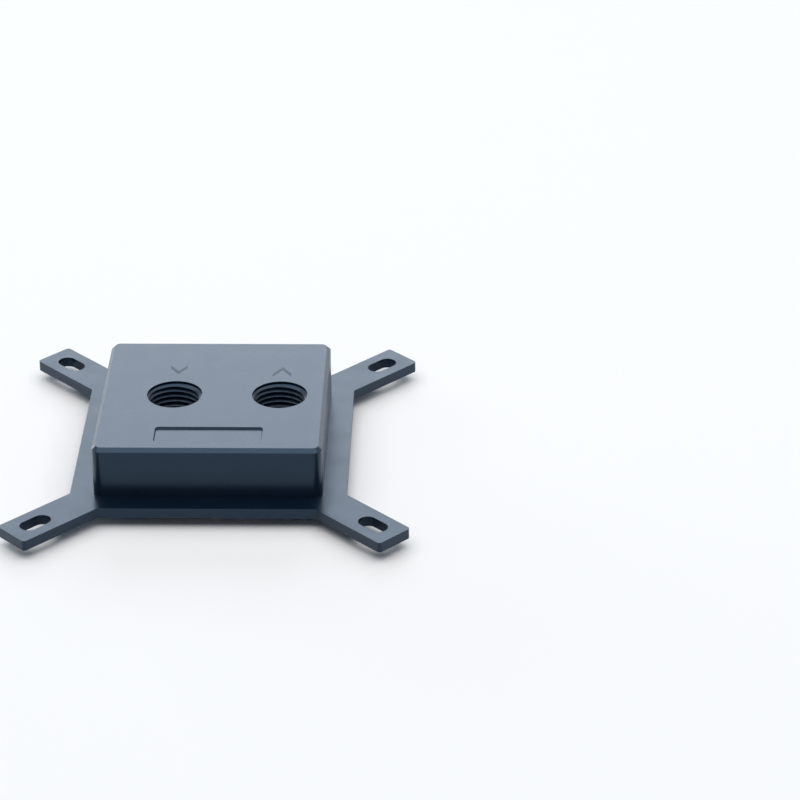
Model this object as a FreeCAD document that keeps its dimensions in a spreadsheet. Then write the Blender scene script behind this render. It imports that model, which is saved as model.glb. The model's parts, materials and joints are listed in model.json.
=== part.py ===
"""CPU water block with an X-shaped mounting bracket, as a parametric model.

Frame: millimetres, +Z up. The origin is the middle of the contact face under the
cold plate, +X runs from the inlet port to the outlet port, -Y is the front.
"""
import FreeCAD
import Part
import Sketcher
import math
import os
import re

SIZES = {
    # Stack of the block, counted up from the contact face.
    "bracket_lift": 2.5,
    "bracket_thickness": 2.5,
    # Square cover.
    "cover_width": 53.5,
    "cover_height": 12.6,
    "cover_top_chamfer": 0.9,
    "cover_corner_round": 2.3,
    # Two ports with a parallel pipe thread, their pair set off to the outlet side.
    "port_spacing": 25.0,
    "port_pair_shift": 3.15,
    "port_radius": 6.58,
    # Bare name panel sunk into the top, near the front edge.
    "panel_width": 25.2,
    "panel_depth": 7.1,
    "panel_sink": 0.45,
    "panel_wall_slope": 25.0,
    "panel_front_margin": 3.75,
    "panel_corner": 0.9,
    # Rims and walls between the cover's edge and the water chamber.
    "cover_ledge": 1.0,
    "window_play": 0.25,
    "plate_screw_rim": 3.05,
    "plate_screw_to_seal": 2.6,
    "seal_wall": 0.9,
    "chamber_corner": 5.0,
    # Water ways in the cover.
    "collector_width": 5.0,
    "plenum_side_margin": 2.5,
    "plenum_depth": 6.0,
    "plenum_height": 1.9,
    "plenum_roof": 1.2,
    "inlet_drop_radius": 2.9,
    "riser_width": 4.4,
    "riser_wall": 1.4,
    "riser_end_margin": 2.0,
    "riser_overlap": 1.8,
    "riser_shift": 1.6,
    # Seal between the cover and the cold plate.
    "seal_groove_width": 2.2,
    "seal_groove_sink": 1.6,
    "seal_side_play": 0.1,
    "seal_bevel": 0.45,
    # Copper cold plate and its comb of fins.
    "plate_edge_chamfer": 0.3,
    "fin_height": 3.0,
    "fin_thickness": 0.4,
    "fin_pitch": 0.8,
    # Jet plate, flow guide and gasket stacked on the fins.
    "jet_plate_thickness": 0.5,
    "jet_slit_width": 1.2,
    "guide_thickness": 1.5,
    "guide_throat": 1.8,
    "gasket_thickness": 0.5,
    "insert_side_play": 0.3,
    # Sheet-steel bracket.
    "bracket_border": 5.5,
    "arm_wall": 2.7,
    "arm_end_margin": 3.3,
    "arm_tip_round": 0.8,
    "arm_root_round": 0.6,
    "slot_square": 77.5,
    "slot_spread": 3.6,
    "slot_width": 4.4,
    # Countersunk screws from below.
    "plate_screw_radius": 1.25,
    "plate_screw_length": 8.0,
    "plate_screw_head_radius": 2.35,
    "plate_screw_key": 1.5,
    "bracket_screw_radius": 1.5,
    "bracket_screw_length": 6.0,
    "bracket_screw_head_radius": 3.0,
    "bracket_screw_key": 2.0,
    "bracket_screw_inset": 4.4,
    "bracket_screw_land": 1.5,
    "screw_play": 0.15,
    "screw_fit": 0.03,
    "head_sink": 0.15,
    "key_sink": 1.1,
    "hole_spare_depth": 0.6,
}

# Sizes that follow from others, as formulas of the names above.
DERIVED = {
    "plate_thickness": "bracket_lift + bracket_thickness",
    # Across the block, from its edge inwards.
    "window_width": "cover_width - 2 * cover_ledge",
    "plate_width": "window_width - 2 * window_play",
    "plate_screw_line": "plate_width / 2 - plate_screw_rim",
    "groove_outer": "2 * (plate_screw_line - plate_screw_to_seal)",
    "groove_inner": "groove_outer - 2 * seal_groove_width",
    "chamber_width": "groove_inner - 2 * seal_wall",
    "groove_inner_corner": "chamber_corner + seal_wall",
    "groove_outer_corner": "groove_inner_corner + seal_groove_width",
    "insert_width": "chamber_width - 2 * insert_side_play",
    "insert_corner": "chamber_corner - insert_side_play",
    "plenum_width": "chamber_width - 2 * plenum_side_margin",
    "fin_length": "chamber_width - 2 * collector_width",
    "fin_count": "floor(plenum_width / fin_pitch)",
    # Corners of the cold plate and its window, clear of the bracket screws.
    "bracket_screw_place": "cover_width / 2 - bracket_screw_inset",
    "window_corner_cut": "window_width - 2 * bracket_screw_place"
                         " + sqrt(2) * (bracket_screw_head_radius + bracket_screw_land)",
    "plate_corner_cut": "window_corner_cut - (2 - sqrt(2)) * window_play",
    # Heights in the cover, counted from its own underside.
    "chamber_height": "jet_plate_thickness + guide_thickness + gasket_thickness",
    "plenum_top": "chamber_height + plenum_height",
    "port_floor": "plenum_top + plenum_roof",
    "port_depth": "cover_height - port_floor",
    "plate_tap_depth": "plate_screw_length + head_sink - plate_thickness + hole_spare_depth",
    "bracket_tap_depth": "bracket_screw_length + head_sink - bracket_thickness"
                         " + hole_spare_depth",
    # Places of the ports and risers.
    "inlet_place": "port_pair_shift - port_spacing / 2",
    "outlet_place": "port_pair_shift + port_spacing / 2",
    "riser_start": "plenum_depth / 2 + riser_wall",
    "riser_end": "chamber_width / 2 - riser_end_margin",
    # Heights of the stack on the fins.
    "guide_base": "plate_thickness + jet_plate_thickness",
    "gasket_base": "guide_base + guide_thickness",
    # Bracket outline.
    "bracket_width": "cover_width + 2 * bracket_border",
    "arm_width": "slot_width + 2 * arm_wall",
    "arm_root": "bracket_width / 2 - arm_width / sqrt(2)",
    "slot_reach": "slot_square / sqrt(2)",
    "arm_reach": "slot_reach + slot_spread / 2 + slot_width / 2 + arm_end_margin",
    "plate_hole_radius": "plate_screw_radius + screw_play",
    "bracket_hole_radius": "bracket_screw_radius + screw_play",
}

ARM_COUNT = 4
KEY_SIDES = 6
# Lengths closer than this, in millimetres, count as the same.
SAME = 0.01
# A cut that takes less than this, in cubic millimetres, took nothing.
NOTHING = 1.0e-4

doc = FreeCAD.newDocument("cpu_water_block")
sheet = doc.addObject("Spreadsheet::Sheet", "sizes")
for row, (alias, number) in enumerate(SIZES.items(), start=1):
    sheet.set("A%d" % row, alias)
    sheet.set("B%d" % row, str(number))
    sheet.setAlias("B%d" % row, alias)
doc.recompute()


def linked(formula):
    """Turns the plain names in a formula into references to the sheet."""
    def reference(match):
        word = match.group()
        if word in DERIVED:
            return "(" + linked(DERIVED[word]) + ")"
        if word in SIZES:
            return "sizes." + word
        return word
    return re.sub(r"[a-z][a-z_]*", reference, formula)


def value(formula):
    """The present value of a formula, in millimetres."""
    return float(sheet.evalExpression(linked(formula)))


def bind(thing, **formulas):
    """Ties properties to formulas; two underscores stand for a dot."""
    for name, formula in formulas.items():
        thing.setExpression(name.replace("__", "."), linked(formula))


def new_body(label, base):
    """One sub-part, standing at a height above the contact face."""
    body = doc.addObject("PartDesign::Body", label)
    body.Label = label
    body.Placement = FreeCAD.Placement()
    bind(body, Placement__Base__z=base)
    return body


def origin_part(body, role):
    """A plane or axis of the body's own origin."""
    return next(item for item in body.Origin.OriginFeatures if item.Role == role)


def new_sketch(body, name, lift="0", turn=0.0):
    """A sketch parallel to the body's base plane, lifted and turned about Z."""
    sketch = body.newObject("Sketcher::SketchObject", name)
    sketch.AttachmentSupport = [(origin_part(body, "XY_Plane"), "")]
    sketch.MapMode = "FlatFace"
    sketch.AttachmentOffset = FreeCAD.Placement(
        FreeCAD.Vector(), FreeCAD.Rotation(FreeCAD.Vector(0, 0, 1), turn))
    bind(sketch, AttachmentOffset__Base__z=lift)
    return sketch


def fix_point(sketch, item, end, across, along):
    """Holds one end of a sketch item at formulas for X and Y."""
    for kind, formula in (("DistanceX", across), ("DistanceY", along)):
        index = sketch.addConstraint(
            Sketcher.Constraint(kind, -1, 1, item, end, value(formula)))
        sketch.setExpression("Constraints[%d]" % index, linked(formula))


def draw_polygon(sketch, corners):
    """A closed outline through corners that are pairs of formulas."""
    points = [FreeCAD.Vector(value(across), value(along), 0) for across, along in corners]
    first = len(sketch.Geometry)
    for number, point in enumerate(points):
        following = points[(number + 1) % len(points)]
        sketch.addGeometry(Part.LineSegment(point, following), False)
    for number, (across, along) in enumerate(corners):
        after = (number + 1) % len(points)
        sketch.addConstraint(
            Sketcher.Constraint("Coincident", first + number, 2, first + after, 1))
        fix_point(sketch, first + number, 1, across, along)


def draw_rectangle(sketch, left, right, front, back):
    """A rectangle between formulas for its four sides."""
    draw_polygon(sketch, [(left, front), (right, front), (right, back), (left, back)])


def draw_centred(sketch, width, depth):
    """A rectangle about the middle of the sketch."""
    draw_rectangle(sketch, "-(%s) / 2" % width, "(%s) / 2" % width,
                   "-(%s) / 2" % depth, "(%s) / 2" % depth)


def draw_cut_square(sketch, width, cut):
    """A square about the middle whose corners are cut off at 45 degrees."""
    far = "(%s) / 2" % width
    near = "((%s) / 2 - (%s))" % (width, cut)
    pairs = [(near, "-" + far), (far, "-" + near), (far, near), (near, far),
             ("-" + near, far), ("-" + far, near), ("-" + far, "-" + near),
             ("-" + near, "-" + far)]
    draw_polygon(sketch, pairs)


def draw_rounded(sketch, width, depth, corner, middle="0"):
    """A rectangle with round corners, each held by its centre; middle moves it along Y."""
    radius = value(corner)
    side = "((%s) / 2 - (%s))" % (width, corner)
    end = "((%s) / 2 - (%s))" % (depth, corner)
    first = len(sketch.Geometry)
    centres = [(side, middle + " + " + end), ("-" + side, middle + " + " + end),
               ("-" + side, middle + " - " + end), (side, middle + " - " + end)]
    for number, (across, along) in enumerate(centres):
        circle = Part.Circle(FreeCAD.Vector(value(across), value(along), 0),
                             FreeCAD.Vector(0, 0, 1), radius)
        start = number * math.pi / 2
        sketch.addGeometry(Part.ArcOfCircle(circle, start, start + math.pi / 2), False)
    for number in range(len(centres)):
        following = first + (number + 1) % len(centres)
        tail = sketch.Geometry[first + number].EndPoint
        head = sketch.Geometry[following].StartPoint
        line = sketch.addGeometry(Part.LineSegment(tail, head), False)
        sketch.addConstraint(Sketcher.Constraint("Tangent", first + number, 2, line, 1))
        sketch.addConstraint(Sketcher.Constraint("Tangent", line, 2, following, 1))
    for number, (across, along) in enumerate(centres):
        fix_point(sketch, first + number, 3, across, along)
    index = sketch.addConstraint(Sketcher.Constraint("Radius", first, radius))
    sketch.setExpression("Constraints[%d]" % index, linked(corner))


def draw_circle(sketch, across, along, radius):
    """A circle with formulas for its centre and radius."""
    centre = FreeCAD.Vector(value(across), value(along), 0)
    item = sketch.addGeometry(
        Part.Circle(centre, FreeCAD.Vector(0, 0, 1), value(radius)), False)
    fix_point(sketch, item, 3, across, along)
    index = sketch.addConstraint(Sketcher.Constraint("Radius", item, value(radius)))
    sketch.setExpression("Constraints[%d]" % index, linked(radius))


def draw_slot(sketch, reach, spread, width):
    """A slot along X: two half circles, their centres spread about a reach."""
    radius = value(width) / 2
    near = "(%s) - (%s) / 2" % (reach, spread)
    far = "(%s) + (%s) / 2" % (reach, spread)
    ends = ((far, -math.pi / 2, math.pi / 2), (near, math.pi / 2, 3 * math.pi / 2))
    arcs = []
    for place, start, stop in ends:
        circle = Part.Circle(FreeCAD.Vector(value(place), 0, 0),
                             FreeCAD.Vector(0, 0, 1), radius)
        arcs.append(sketch.addGeometry(Part.ArcOfCircle(circle, start, stop), False))
    for side in (1, -1):
        line = Part.LineSegment(FreeCAD.Vector(value(far), side * radius, 0),
                                FreeCAD.Vector(value(near), side * radius, 0))
        sketch.addGeometry(line, False)
    right, left, upper, lower = arcs[0], arcs[1], arcs[1] + 1, arcs[1] + 2
    for first, first_end, second, second_end in (
            (right, 2, upper, 1), (upper, 2, left, 1),
            (right, 1, lower, 1), (lower, 2, left, 2)):
        sketch.addConstraint(
            Sketcher.Constraint("Tangent", first, first_end, second, second_end))
    fix_point(sketch, right, 3, far, "0")
    fix_point(sketch, left, 3, near, "0")
    index = sketch.addConstraint(Sketcher.Constraint("Radius", right, radius))
    sketch.setExpression("Constraints[%d]" % index, linked("(%s) / 2" % width))


def pad(body, sketch, length):
    """Raises a sketch upwards by a formula."""
    feature = body.newObject("PartDesign::Pad", sketch.Name + "_pad")
    feature.Profile = sketch
    bind(feature, Length=length)
    doc.recompute()
    return feature


def pocket(body, sketch, length, upward=True):
    """Cuts a sketch into the body, upwards or downwards, by a formula."""
    before = body.Shape.Volume
    feature = body.newObject("PartDesign::Pocket", sketch.Name + "_pocket")
    feature.Profile = sketch
    feature.Reversed = upward
    bind(feature, Length=length)
    doc.recompute()
    if body.Shape.Volume > before - NOTHING:
        raise RuntimeError(sketch.Name + " cuts nothing")
    return feature


def edges_of(feature, wanted):
    """Names of the feature's edges for which wanted(edge) holds."""
    names = []
    for number, edge in enumerate(feature.Shape.Edges, start=1):
        if wanted(edge):
            names.append("Edge%d" % number)
    if not names:
        raise RuntimeError(feature.Name + " has no such edge")
    return names


def dress(body, kind, base, wanted, size):
    """Fillet or chamfer on the chosen edges of the body's last feature."""
    feature = body.newObject("PartDesign::" + kind, base.Name + "_" + kind.lower())
    feature.Base = (base, edges_of(base, wanted))
    if kind == "Fillet":
        bind(feature, Radius=size)
    else:
        bind(feature, Size=size)
    doc.recompute()
    return feature


def close(first, second):
    """True where two lengths agree."""
    return abs(first - second) < SAME


def is_upright(edge):
    """True for a straight edge along Z."""
    box = edge.BoundBox
    return box.ZLength > SAME and box.XLength < SAME and box.YLength < SAME


def lies_at(edge, height):
    """True for an edge that lies flat at a height in the body's own frame."""
    box = edge.BoundBox
    return close(box.ZMin, height) and close(box.ZMax, height)


def is_circle(edge, radius):
    """True for a whole circle of a radius."""
    curve = edge.Curve
    return edge.Closed and hasattr(curve, "Radius") and close(curve.Radius, radius)


def turned(body, originals, count, name):
    """Repeats features evenly about the vertical axis."""
    pattern = body.newObject("PartDesign::PolarPattern", name)
    pattern.Originals = originals
    pattern.Axis = (origin_part(body, "Z_Axis"), [""])
    pattern.Angle = 360.0
    pattern.Occurrences = count
    body.Tip = pattern
    doc.recompute()
    return pattern


def plate_screw_places():
    """One screw in the middle of each side of the cold plate, as pairs of formulas."""
    for line in ("-plate_screw_line", "plate_screw_line"):
        yield "0", line
        yield line, "0"


def bracket_screw_places():
    """One screw at each corner of the block, as pairs of formulas."""
    for across in ("-bracket_screw_place", "bracket_screw_place"):
        for along in ("-bracket_screw_place", "bracket_screw_place"):
            yield across, along


def rounded_pad(body, name, width, depth, corner, thickness):
    """A flat slab about the middle with round corners."""
    sketch = new_sketch(body, name)
    draw_centred(sketch, width, depth)
    slab = pad(body, sketch, thickness)
    return dress(body, "Fillet", slab, is_upright, corner)


def build_top_cover():
    """Machined cover: ports and panel on top, water ways from below."""
    body = new_body("top_cover", "plate_thickness")
    outline = new_sketch(body, "cover_outline")
    draw_centred(outline, "cover_width", "cover_width")
    block = pad(body, outline, "cover_height")
    block = dress(body, "Fillet", block, is_upright, "cover_corner_round")
    top = value("cover_height")
    block = dress(body, "Chamfer", block, lambda edge: lies_at(edge, top),
                  "cover_top_chamfer")

    ports = new_sketch(body, "ports", "cover_height")
    draw_circle(ports, "inlet_place", "0", "port_radius")
    draw_circle(ports, "outlet_place", "0", "port_radius")
    pocket(body, ports, "port_depth", upward=False)

    panel = new_sketch(body, "name_panel", "cover_height")
    draw_rounded(panel, "panel_width", "panel_depth", "panel_corner",
                 "(panel_front_margin + panel_depth / 2 - cover_width / 2)")
    sunk = pocket(body, panel, "panel_sink", upward=False)
    bind(sunk, TaperAngle="-panel_wall_slope")
    doc.recompute()

    chamber = new_sketch(body, "chamber")
    draw_rounded(chamber, "chamber_width", "chamber_width", "chamber_corner")
    pocket(body, chamber, "chamber_height")

    groove = new_sketch(body, "seal_groove")
    draw_rounded(groove, "groove_outer", "groove_outer", "groove_outer_corner")
    draw_rounded(groove, "groove_inner", "groove_inner", "groove_inner_corner")
    pocket(body, groove, "seal_groove_sink")

    plenum = new_sketch(body, "plenum", "chamber_height")
    draw_centred(plenum, "plenum_width", "plenum_depth")
    pocket(body, plenum, "plenum_height")
    drop = new_sketch(body, "inlet_drop", "plenum_top")
    draw_circle(drop, "inlet_place", "0", "inlet_drop_radius")
    pocket(body, drop, "plenum_roof")

    risers = new_sketch(body, "risers", "chamber_height")
    middle = "(outlet_place - riser_shift)"
    left = middle + " - riser_width / 2"
    right = middle + " + riser_width / 2"
    draw_rectangle(risers, left, right, "riser_start", "riser_end")
    draw_rectangle(risers, left, right, "-riser_end", "-riser_start")
    pocket(body, risers, "port_floor + riser_overlap - chamber_height")

    plate_taps = new_sketch(body, "plate_taps")
    for across, along in plate_screw_places():
        draw_circle(plate_taps, across, along, "plate_screw_radius")
    pocket(body, plate_taps, "plate_tap_depth")
    bracket_taps = new_sketch(body, "bracket_taps")
    for across, along in bracket_screw_places():
        draw_circle(bracket_taps, across, along, "bracket_screw_radius")
    pocket(body, bracket_taps, "bracket_tap_depth")
    return body


def build_mounting_bracket():
    """Sheet with four diagonal arms, a window for the cold plate and four slots."""
    body = new_body("mounting_bracket", "bracket_lift")
    square = new_sketch(body, "bracket_square")
    draw_centred(square, "bracket_width", "bracket_width")
    pad(body, square, "bracket_thickness")
    arm = new_sketch(body, "arm", turn=45.0)
    draw_rectangle(arm, "0", "arm_reach", "-arm_width / 2", "arm_width / 2")
    one_arm = pad(body, arm, "bracket_thickness")
    cross = turned(body, [one_arm], ARM_COUNT, "arms")
    root = math.hypot(value("arm_root"), value("bracket_width / 2"))
    tip = math.hypot(value("arm_reach"), value("arm_width / 2"))

    def stands_at(edge, radius):
        place = edge.BoundBox.Center
        return is_upright(edge) and close(math.hypot(place.x, place.y), radius)

    cross = dress(body, "Fillet", cross, lambda edge: stands_at(edge, tip),
                  "arm_tip_round")
    dress(body, "Fillet", cross, lambda edge: stands_at(edge, root), "arm_root_round")

    window = new_sketch(body, "window")
    draw_cut_square(window, "window_width", "window_corner_cut")
    pocket(body, window, "bracket_thickness")
    slot = new_sketch(body, "slot", turn=45.0)
    draw_slot(slot, "slot_reach", "slot_spread", "slot_width")
    one_slot = pocket(body, slot, "bracket_thickness")
    turned(body, [one_slot], ARM_COUNT, "slots")
    holes = new_sketch(body, "bracket_holes")
    for across, along in bracket_screw_places():
        draw_circle(holes, across, along, "bracket_hole_radius")
    drilled = pocket(body, holes, "bracket_thickness")
    radius = value("bracket_hole_radius")
    dress(body, "Chamfer", drilled,
          lambda edge: lies_at(edge, 0) and is_circle(edge, radius),
          "bracket_screw_head_radius + head_sink - bracket_hole_radius")
    return body


def build_cold_plate():
    """Copper plate with a pool cut into its top and a comb of fins in the pool."""
    body = new_body("cold_plate", "0")
    outline = new_sketch(body, "plate_outline")
    draw_cut_square(outline, "plate_width", "plate_corner_cut")
    slab = pad(body, outline, "plate_thickness")
    slab = dress(body, "Chamfer", slab, lambda edge: lies_at(edge, 0),
                 "plate_edge_chamfer")
    pool = new_sketch(body, "pool", "plate_thickness - fin_height")
    draw_rounded(pool, "chamber_width", "chamber_width", "chamber_corner")
    pocket(body, pool, "fin_height")

    fin = new_sketch(body, "fin", "plate_thickness - fin_height")
    start = "-(fin_count - 1) * fin_pitch / 2"
    draw_rectangle(fin, start + " - fin_thickness / 2", start + " + fin_thickness / 2",
                   "-fin_length / 2", "fin_length / 2")
    one_fin = pad(body, fin, "fin_height")
    comb = body.newObject("PartDesign::LinearPattern", "fins")
    comb.Originals = [one_fin]
    comb.Direction = (origin_part(body, "X_Axis"), [""])
    comb.Mode = "Extent"
    bind(comb, Length="(fin_count - 1) * fin_pitch", Occurrences="fin_count")
    body.Tip = comb
    doc.recompute()

    holes = new_sketch(body, "plate_holes")
    for across, along in plate_screw_places():
        draw_circle(holes, across, along, "plate_hole_radius")
    drilled = pocket(body, holes, "plate_thickness")
    radius = value("plate_hole_radius")
    dress(body, "Chamfer", drilled,
          lambda edge: lies_at(edge, 0) and is_circle(edge, radius),
          "plate_screw_head_radius + head_sink - plate_hole_radius")
    return body


def build_jet_plate():
    """Thin sheet on the fins with one slit across all of them."""
    body = new_body("jet_plate", "plate_thickness")
    rounded_pad(body, "jet_outline", "insert_width", "fin_length", "insert_corner",
                "jet_plate_thickness")
    slit = new_sketch(body, "jet_slit")
    draw_centred(slit, "plenum_width", "jet_slit_width")
    pocket(body, slit, "jet_plate_thickness")
    return body


def build_flow_guide():
    """Moulded insert whose funnel narrows from the plenum to the slit."""
    body = new_body("flow_guide", "guide_base")
    rounded_pad(body, "guide_outline", "insert_width", "fin_length", "insert_corner",
                "guide_thickness")
    throat = new_sketch(body, "throat")
    draw_centred(throat, "plenum_width", "guide_throat")
    mouth = new_sketch(body, "mouth", "guide_thickness")
    draw_centred(mouth, "plenum_width", "plenum_depth")
    funnel = body.newObject("PartDesign::SubtractiveLoft", "funnel")
    funnel.Profile = throat
    funnel.Sections = [mouth]
    doc.recompute()
    return body


def build_jet_gasket():
    """Flat gasket that seals the plenum between the guide and the cover."""
    body = new_body("jet_gasket", "gasket_base")
    rounded_pad(body, "gasket_outline", "insert_width", "fin_length", "insert_corner",
                "gasket_thickness")
    opening = new_sketch(body, "gasket_opening")
    draw_centred(opening, "plenum_width", "plenum_depth")
    pocket(body, opening, "gasket_thickness")
    return body


def build_main_seal():
    """Seal ring, squeezed flat in its groove between cover and cold plate."""
    body = new_body("main_seal", "plate_thickness")
    ring = new_sketch(body, "ring")
    outer = "groove_outer - 2 * seal_side_play"
    inner = "groove_inner + 2 * seal_side_play"
    draw_rounded(ring, outer, outer, "groove_outer_corner - seal_side_play")
    draw_rounded(ring, inner, inner, "groove_inner_corner + seal_side_play")
    band = pad(body, ring, "seal_groove_sink")
    dress(body, "Chamfer", band, lambda edge: not is_upright(edge), "seal_bevel")
    return body


def build_screws(label, places, kind, base):
    """A set of countersunk screws, each its own solid, heads down."""
    solids = []
    shank_radius = kind + "_radius - screw_fit"
    head_radius = kind + "_head_radius"
    for number, (across, along) in enumerate(places, start=1):
        name = "%s_%d" % (kind, number)
        shank = doc.addObject("Part::Cylinder", name + "_shank")
        bind(shank, Radius=shank_radius, Height=kind + "_length")
        head = doc.addObject("Part::Cone", name + "_head")
        bind(head, Radius1=head_radius, Radius2=shank_radius,
             Height=head_radius + " - (" + shank_radius + ")")
        blank = doc.addObject("Part::Fuse", name + "_blank")
        blank.Base = shank
        blank.Tool = head
        key = doc.addObject("Part::Prism", name + "_key")
        key.Polygon = KEY_SIDES
        bind(key, Circumradius=kind + "_key / sqrt(3)", Height="key_sink")
        screw = doc.addObject("Part::Cut", name)
        screw.Base = blank
        screw.Tool = key
        bind(screw, Placement__Base__x=across, Placement__Base__y=along,
             Placement__Base__z=base + " + head_sink")
        solids.append(screw)
    screws = doc.addObject("Part::Compound", label)
    screws.Label = label
    screws.Links = solids
    return screws


def build_all():
    """Every sub-part of the block, from the cover down."""
    return [
        build_top_cover(),
        build_mounting_bracket(),
        build_cold_plate(),
        build_jet_plate(),
        build_flow_guide(),
        build_jet_gasket(),
        build_main_seal(),
        build_screws("cold_plate_screws", plate_screw_places(), "plate_screw", "0"),
        build_screws("bracket_screws", bracket_screw_places(), "bracket_screw",
                     "bracket_lift"),
    ]


parts = build_all()
doc.recompute()

failed = [thing.Name for thing in doc.Objects
          if "Invalid" in thing.State or "Error" in thing.State]
if failed:
    raise RuntimeError("failed objects: " + ", ".join(failed))
for part in parts:
    if part.Shape.isNull() or not part.Shape.isValid() or not part.Shape.Solids:
        raise RuntimeError("bad shape: " + part.Label)

os.makedirs("parts", exist_ok=True)
for part in parts:
    part.Shape.exportStep("parts/%s.step" % part.Label)
    box = part.Shape.BoundBox
    print("%-20s %2d solid(s) %9.1f mm3  z %6.2f to %6.2f" % (
        part.Label, len(part.Shape.Solids), part.Shape.Volume, box.ZMin, box.ZMax))
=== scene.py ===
"""Looks of the water block: camera, studio, materials, port threads and flow marks."""
import json
import math

import bpy
from mathutils import Matrix, Vector


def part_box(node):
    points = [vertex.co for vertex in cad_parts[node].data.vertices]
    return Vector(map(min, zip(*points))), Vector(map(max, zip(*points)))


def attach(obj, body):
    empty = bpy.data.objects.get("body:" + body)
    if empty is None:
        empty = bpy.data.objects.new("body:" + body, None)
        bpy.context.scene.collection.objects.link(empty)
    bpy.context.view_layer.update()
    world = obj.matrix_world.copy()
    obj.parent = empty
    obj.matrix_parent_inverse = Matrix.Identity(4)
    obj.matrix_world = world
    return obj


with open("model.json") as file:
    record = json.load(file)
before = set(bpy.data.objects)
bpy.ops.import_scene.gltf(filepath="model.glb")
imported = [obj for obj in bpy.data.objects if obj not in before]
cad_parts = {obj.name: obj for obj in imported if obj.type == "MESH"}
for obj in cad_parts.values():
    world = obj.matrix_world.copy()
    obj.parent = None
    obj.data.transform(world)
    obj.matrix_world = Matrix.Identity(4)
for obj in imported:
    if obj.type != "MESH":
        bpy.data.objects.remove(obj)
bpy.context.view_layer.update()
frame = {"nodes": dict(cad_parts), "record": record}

MM = 0.001
BODY = "root"

# Camera: direction and roll in degrees, then where its axis passes the origin, in mm
# to the right and up across the view, and its distance along the view.
CAMERA_AZIMUTH = 1.5
CAMERA_ELEVATION = 28.62
CAMERA_ROLL = -0.5
CAMERA_ASIDE = 44.04
CAMERA_ABOVE = 14.12
CAMERA_DISTANCE = 802.2
CAMERA_CLIP = 0.01
SENSOR_MM = 36.0
LENS_MM = 150.4

# Parallel pipe thread of the ports under a short plain mouth, lengths in mm. Flank,
# crest and start are shares of a turn.
THREAD_MAJOR_RADIUS = 6.56
THREAD_MINOR_RADIUS = 5.72
THREAD_OUTER_RADIUS = THREAD_MAJOR_RADIUS + 0.012
THREAD_PITCH = 1.337
THREAD_FLANK = 0.44
THREAD_CREST = 0.07
THREAD_START = 0.5
THREAD_FLOOR_GAP = 0.02
MOUTH_DEPTH = 0.65
MOUTH_CONE_DEPTH = 0.5

# Mesh of the thread: points around each ring, rings to a turn, and the angle in degrees
# above which an edge stays sharp.
RING_POINTS = 120
RINGS_PER_TURN = 16
SHARP_ANGLE = 30

# Flow marks behind the ports, in mm: which way each chevron points, its half width,
# its height and how far behind the port's axis its middle lies.
MARKS = {
    "inlet": (-1, 2.0, 2.9, 12.35),
    "outlet": (1, 2.25, 3.3, 11.45),
}
MARK_STROKE = 0.8
MARK_PROUD = 0.012

# Satin black coat: its own colour, the tint of its reflection and the size in mm of its
# changes in gloss.
BLACK = (0.0, 0.003, 0.011, 1.0)
BLACK_TINT = (0.47, 0.72, 1.0, 1.0)
GLOSS_PATCH_MM = 6.0

# Colours of the bare metals, of the rubber and of the acetal.
COPPER_DARK = (0.78, 0.36, 0.22, 1.0)
COPPER_LIGHT = (0.93, 0.52, 0.36, 1.0)
STEEL = (0.56, 0.56, 0.58, 1.0)
RUBBER = (0.02, 0.02, 0.022, 1.0)
ACETAL = (0.03, 0.03, 0.033, 1.0)

# Range that a noise texture's values mostly keep to.
NOISE_LOW = 0.3
NOISE_HIGH = 0.7

# Fill light from all around, its colour and strength.
FILL_COLOR = (0.74, 0.97, 1.14, 1.0)
FILL = 0.18

# Softboxes: place and aim in metres, width and height in metres, radiance and colour.
# The one overhead is slightly warm, and those behind and to the left are cool.
SOFTBOXES = {
    "top_softbox": ((0.0, 0.0, 1.2), (0.0, 0.0, 0.0), 2.2, 1.8, 1.64, (1.02, 0.985, 0.965)),
    "back_softbox": ((0.0, 2.2, 1.2), (0.0, 0.0, 0.0), 1.7, 1.0, 2.6, (0.93, 0.985, 1.06)),
    "left_strip": ((-1.5, 1.9, 0.3), (0.0, 0.0, 0.02), 2.0, 0.48, 5.8, (0.87, 0.98, 1.12)),
    "right_strip": ((1.5, 1.9, 0.3), (0.0, 0.0, 0.02), 2.0, 0.48, 0.8, (1.0, 1.0, 1.0)),
}

# Floor: half its width in metres, its depth under the block's face in mm, and its look.
FLOOR_HALF = 2.0
FLOOR_DROP_MM = 0.02
FLOOR_COLOR = (0.94, 0.942, 0.942, 1.0)
FLOOR_ROUGHNESS = 0.9
WHITE = (1.0, 1.0, 1.0, 1.0)


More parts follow.
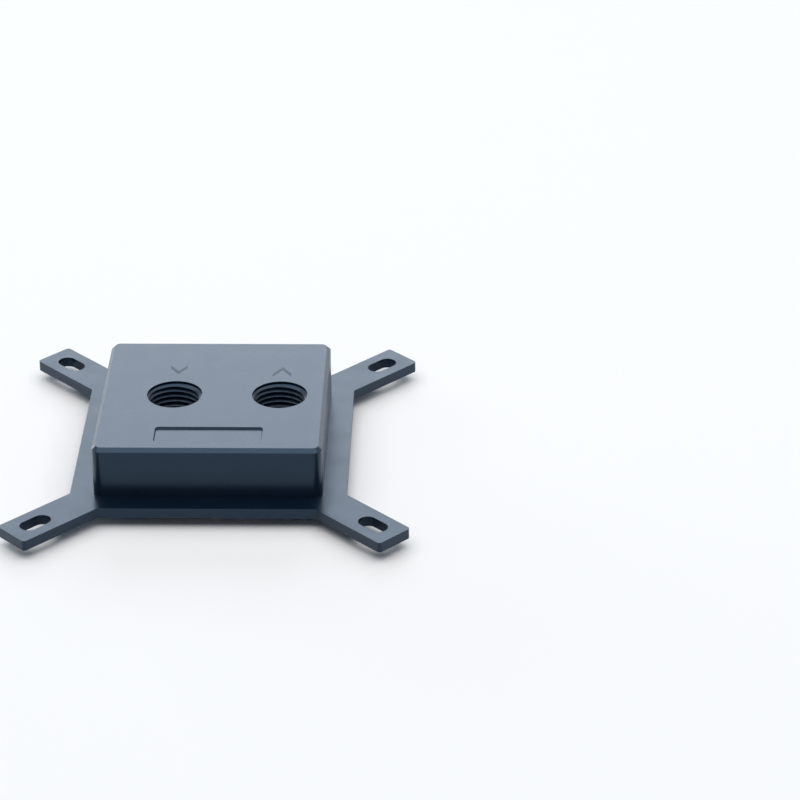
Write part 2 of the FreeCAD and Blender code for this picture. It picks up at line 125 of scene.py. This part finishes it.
class Nodes:
    """Short calls for building a material's node tree."""

    def __init__(self, name):
        self.material = bpy.data.materials.new(name)
        self.material.use_nodes = True
        self.tree = self.material.node_tree
        self.shader = self.tree.nodes["Principled BSDF"]

    def add(self, kind):
        return self.tree.nodes.new(kind)

    def link(self, source, target):
        self.tree.links.new(source, target)

    def set(self, **values):
        """Sets the shader's inputs, named with an underscore for each space."""
        for key, value in values.items():
            self.shader.inputs[key.replace("_", " ")].default_value = value

    def place(self, stretch):
        """Object coordinates in metres, stretched."""
        coordinates = self.add("ShaderNodeTexCoord")
        mapping = self.add("ShaderNodeMapping")
        mapping.inputs["Scale"].default_value = stretch
        self.link(coordinates.outputs["Object"], mapping.inputs["Vector"])
        return mapping.outputs["Vector"]

    def noise(self, feature_mm, stretch=(1.0, 1.0, 1.0)):
        """Noise whose features are about this size."""
        node = self.add("ShaderNodeTexNoise")
        node.inputs["Scale"].default_value = 1.0 / (feature_mm * MM)
        node.inputs["Detail"].default_value = 3.0
        self.link(self.place(stretch), node.inputs["Vector"])
        return node.outputs["Fac"]

    def roughness(self, noise, low, high):
        """Roughness that follows a noise between two values."""
        node = self.add("ShaderNodeMapRange")
        node.inputs["From Min"].default_value = NOISE_LOW
        node.inputs["From Max"].default_value = NOISE_HIGH
        node.inputs["To Min"].default_value = low
        node.inputs["To Max"].default_value = high
        self.link(noise, node.inputs["Value"])
        self.link(node.outputs["Result"], self.shader.inputs["Roughness"])

    def bump(self, noise, depth_mm, edge_mm=0.0):
        """Grain of this depth, on edges rounded by this radius."""
        node = self.add("ShaderNodeBump")
        node.inputs["Distance"].default_value = depth_mm * MM
        self.link(noise, node.inputs["Height"])
        if edge_mm:
            edge = self.add("ShaderNodeBevel")
            edge.inputs["Radius"].default_value = edge_mm * MM
            self.link(edge.outputs["Normal"], node.inputs["Normal"])
        self.link(node.outputs["Normal"], self.shader.inputs["Normal"])


def satin_black(name, ior, low, high, grain_mm, depth_mm, edge_mm):
    """Blue-black coat on metal, its roughness from low to high, with a fine even grain."""
    nodes = Nodes(name)
    nodes.set(Base_Color=BLACK, IOR=ior, Specular_Tint=BLACK_TINT)
    nodes.roughness(nodes.noise(GLOSS_PATCH_MM), low, high)
    nodes.bump(nodes.noise(grain_mm), depth_mm, edge_mm)
    return nodes.material


def copper():
    """Lapped copper: fine parallel scratches and slight tone changes."""
    nodes = Nodes("lapped_copper")
    nodes.set(Metallic=1.0)
    scratches = nodes.noise(feature_mm=0.12, stretch=(0.04, 1.0, 1.0))
    nodes.roughness(scratches, low=0.2, high=0.36)
    nodes.bump(scratches, depth_mm=0.002)
    ramp = nodes.add("ShaderNodeValToRGB")
    for element, color in zip(ramp.color_ramp.elements, (COPPER_DARK, COPPER_LIGHT)):
        element.color = color
    nodes.link(nodes.noise(feature_mm=9.0, stretch=(0.4, 1.0, 1.0)), ramp.inputs["Fac"])
    nodes.link(ramp.outputs["Color"], nodes.shader.inputs["Base Color"])
    return nodes.material


def turned_steel():
    """Stainless steel with a fine turned finish."""
    nodes = Nodes("stainless")
    nodes.set(Base_Color=STEEL, Metallic=1.0)
    grain = nodes.noise(feature_mm=0.15, stretch=(1.0, 0.2, 1.0))
    nodes.roughness(grain, low=0.22, high=0.38)
    nodes.bump(grain, depth_mm=0.002)
    return nodes.material


def dark_polymer(name, color, low, high, grain_mm):
    """Black rubber or acetal, its roughness from low to high."""
    nodes = Nodes(name)
    nodes.set(Base_Color=color)
    grain = nodes.noise(grain_mm)
    nodes.roughness(grain, low, high)
    nodes.bump(grain, depth_mm=0.01)
    return nodes.material


def dress(node, material):
    """Gives a CAD node its material."""
    slots = frame["nodes"][node].material_slots
    for slot in slots:
        slot.material = material
    if not slots:
        frame["nodes"][node].data.materials.append(material)


def new_piece(name, vertices, faces, material):
    """A mesh piece of the cover, in metres, riding on the block."""
    mesh = bpy.data.meshes.new(name)
    mesh.from_pydata(vertices, [], faces)
    mesh.materials.append(material)
    piece = bpy.data.objects.new(name, mesh)
    bpy.context.scene.collection.objects.link(piece)
    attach(piece, BODY)
    return mesh


def port_places():
    """Name, middle of the mouth and length of each port, from the mounts of the record."""
    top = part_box("top_cover")[1].z
    for mount in frame["record"]["mounts"]:
        if mount["kind"] == "threaded_hole":
            x, y, _ = mount["pos_m"]
            yield mount["name"].split("_")[0], Vector((x, y, top)), mount["dims"]["length_mm"]


def thread_radius(turn):
    """Radius of the thread's wall, in mm, at a number of turns down its helix."""
    phase = turn % 1.0
    if phase < THREAD_CREST:
        share = 0.0
    elif phase < THREAD_CREST + THREAD_FLANK:
        share = (phase - THREAD_CREST) / THREAD_FLANK
    elif phase < 1.0 - THREAD_FLANK:
        share = 1.0
    else:
        share = (1.0 - phase) / THREAD_FLANK
    return THREAD_MINOR_RADIUS + (THREAD_MAJOR_RADIUS - THREAD_MINOR_RADIUS) * share


def wall_ring(mouth, depth_mm, radii):
    """Points around a port's axis at a depth under its mouth, one for each radius."""
    for step, radius in enumerate(radii):
        angle = 2 * math.pi * step / len(radii)
        yield mouth + MM * Vector((radius * math.cos(angle), radius * math.sin(angle),
                                   -depth_mm))


def thread_ring(depth_mm):
    """Radii around the thread at a depth under its start, where a cone opens it."""
    cone_slope = (THREAD_MAJOR_RADIUS - THREAD_MINOR_RADIUS) / MOUTH_CONE_DEPTH
    cone = THREAD_MAJOR_RADIUS - cone_slope * depth_mm
    turn = THREAD_START + depth_mm / THREAD_PITCH
    return [max(cone, thread_radius(turn + step / RING_POINTS))
            for step in range(RING_POINTS)]


def port_thread(name, mouth, length_mm, material):
    """Threaded wall of one port under a chamfered start, as a closed ring."""
    ring_height = THREAD_PITCH / RINGS_PER_TURN
    turned_mm = length_mm - MOUTH_DEPTH - THREAD_FLOOR_GAP
    rows = int(turned_mm / ring_height)
    vertices = []
    for row in range(rows + 1):
        depth = row * ring_height
        vertices.extend(wall_ring(mouth, MOUTH_DEPTH + depth, thread_ring(depth)))
    for depth in (rows * ring_height, 0.0):
        outer = [THREAD_OUTER_RADIUS] * RING_POINTS
        vertices.extend(wall_ring(mouth, MOUTH_DEPTH + depth, outer))
    rings = rows + 3
    faces = []
    for ring in range(rings):
        upper = ring * RING_POINTS
        lower = (ring + 1) % rings * RING_POINTS
        for step in range(RING_POINTS):
            after = (step + 1) % RING_POINTS
            faces.append((upper + step, upper + after, lower + after, lower + step))
    mesh = new_piece(name, vertices, faces, material)
    mesh.shade_smooth()
    mesh.set_sharp_from_angle(angle=math.radians(SHARP_ANGLE))


def flow_mark(name, mouth, shape, material):
    """Shallow chevron on the cover behind a port."""
    pointing, half_width, height, behind = shape
    rise = height / 2 * pointing
    stroke = MARK_STROKE / 2 * math.hypot(half_width, height) / half_width
    outline = [(-half_width, stroke - rise), (0, stroke + rise), (half_width, stroke - rise),
               (half_width, -stroke - rise), (0, rise - stroke), (-half_width, -stroke - rise)]
    vertices = [mouth + MM * Vector((across, behind + along, lift))
                for lift in (0.0, MARK_PROUD) for across, along in outline]
    count = len(outline)
    faces = [(0, 1, 4, 5), (1, 2, 3, 4), (11, 10, 7, 6), (10, 9, 8, 7)]
    for corner in range(count):
        after = (corner + 1) % count
        faces.append((corner, corner + count, after + count, after))
    new_piece(name, vertices, faces, material)


def add_camera():
    """Camera at the photograph's viewing angle."""
    azimuth = math.radians(CAMERA_AZIMUTH)
    elevation = math.radians(CAMERA_ELEVATION)
    back = Vector((math.sin(azimuth) * math.cos(elevation),
                   -math.cos(azimuth) * math.cos(elevation), math.sin(elevation)))
    right = Vector((math.cos(azimuth), math.sin(azimuth), 0.0))
    up = back.cross(right)
    roll = math.radians(CAMERA_ROLL)
    rolled_right = math.cos(roll) * right + math.sin(roll) * up
    rolled_up = math.cos(roll) * up - math.sin(roll) * right
    place = (rolled_right * CAMERA_ASIDE + rolled_up * CAMERA_ABOVE
             + back * CAMERA_DISTANCE) * MM
    data = bpy.data.cameras.new("camera")
    data.lens = LENS_MM
    data.sensor_width = SENSOR_MM
    data.clip_start = CAMERA_CLIP
    camera = bpy.data.objects.new("camera", data)
    turn = Matrix((rolled_right, rolled_up, back)).transposed().to_4x4()
    camera.matrix_world = Matrix.Translation(place) @ turn
    bpy.context.scene.collection.objects.link(camera)
    bpy.context.scene.camera = camera


def add_softbox(name, place, aim, width, height, radiance, color):
    """Rectangular lamp of an even brightness."""
    data = bpy.data.lights.new(name, "AREA")
    data.shape = "RECTANGLE"
    data.size = width
    data.size_y = height
    data.energy = radiance * math.pi * width * height
    data.color = color
    lamp = bpy.data.objects.new(name, data)
    lamp.location = place
    direction = Vector(aim) - Vector(place)
    lamp.rotation_euler = direction.to_track_quat("-Z", "Y").to_euler()
    lamp.visible_camera = False
    bpy.context.scene.collection.objects.link(lamp)


def add_world():
    """Cool fill light, and plain white where the camera or a reflection sees past the floor."""
    world = bpy.data.worlds.new("studio")
    world.use_nodes = True
    tree = world.node_tree
    fill = tree.nodes["Background"]
    fill.inputs["Color"].default_value = FILL_COLOR
    fill.inputs["Strength"].default_value = FILL
    white = tree.nodes.new("ShaderNodeBackground")
    white.inputs["Color"].default_value = WHITE
    path = tree.nodes.new("ShaderNodeLightPath")
    seen = path.outputs["Is Camera Ray"]
    for ray in ("Is Glossy Ray", "Is Transmission Ray"):
        both = tree.nodes.new("ShaderNodeMath")
        both.operation = "MAXIMUM"
        tree.links.new(seen, both.inputs[0])
        tree.links.new(path.outputs[ray], both.inputs[1])
        seen = both.outputs["Value"]
    mix = tree.nodes.new("ShaderNodeMixShader")
    tree.links.new(seen, mix.inputs["Fac"])
    tree.links.new(fill.outputs["Background"], mix.inputs[1])
    tree.links.new(white.outputs["Background"], mix.inputs[2])
    tree.links.new(mix.outputs["Shader"], tree.nodes["World Output"].inputs["Surface"])
    bpy.context.scene.world = world


def add_floor():
    """White floor, a hair under the block's face so that the two share no plane."""
    level = -FLOOR_DROP_MM * MM
    corners = [(x * FLOOR_HALF, y * FLOOR_HALF, level)
               for x, y in ((-1, -1), (1, -1), (1, 1), (-1, 1))]
    mesh = bpy.data.meshes.new("floor")
    mesh.from_pydata(corners, [], [(0, 1, 2, 3)])
    floor = bpy.data.objects.new("floor", mesh)
    bpy.context.scene.collection.objects.link(floor)
    nodes = Nodes("floor_white")
    nodes.set(Base_Color=FLOOR_COLOR, Roughness=FLOOR_ROUGHNESS, Specular_IOR_Level=0.0)
    mesh.materials.append(nodes.material)


def add_studio():
    """Floor, white surroundings, softboxes overhead and behind, and low side strips."""
    add_floor()
    add_world()
    for name, lamp in SOFTBOXES.items():
        add_softbox(name, *lamp)


def dress_nodes():
    """Materials of all CAD nodes."""
    steel = turned_steel()
    rubber = dark_polymer("seal_rubber", RUBBER, low=0.5, high=0.65, grain_mm=0.3)
    looks = {
        "top_cover": satin_black("cover_black", ior=1.6, low=0.27, high=0.29,
                                 grain_mm=0.2, depth_mm=0.0008, edge_mm=0.12),
        "mounting_bracket": satin_black("bracket_black", ior=1.6, low=0.28, high=0.34,
                                        grain_mm=0.25, depth_mm=0.006, edge_mm=0.12),
        "cold_plate": copper(),
        "jet_plate": steel,
        "flow_guide": dark_polymer("acetal", ACETAL, low=0.35, high=0.45, grain_mm=0.4),
        "jet_gasket": rubber,
        "main_seal": rubber,
        "cold_plate_screws": steel,
        "bracket_screws": steel,
    }
    for node, material in looks.items():
        dress(node, material)


def detail_ports():
    """Thread and flow mark of each port."""
    thread = satin_black("thread_black", ior=1.5, low=0.28, high=0.34,
                         grain_mm=0.2, depth_mm=0.001, edge_mm=0.12)
    mark = satin_black("mark_black", ior=1.49, low=0.38, high=0.44,
                       grain_mm=0.1, depth_mm=0.001, edge_mm=0.0)
    for port, mouth, length_mm in port_places():
        port_thread(port + "_thread", mouth, length_mm, thread)
        flow_mark(port + "_mark", mouth, MARKS[port], mark)


add_camera()
add_studio()
dress_nodes()
detail_ports()
bpy.context.scene.view_settings.view_transform = "Standard"
bpy.context.view_layer.update()
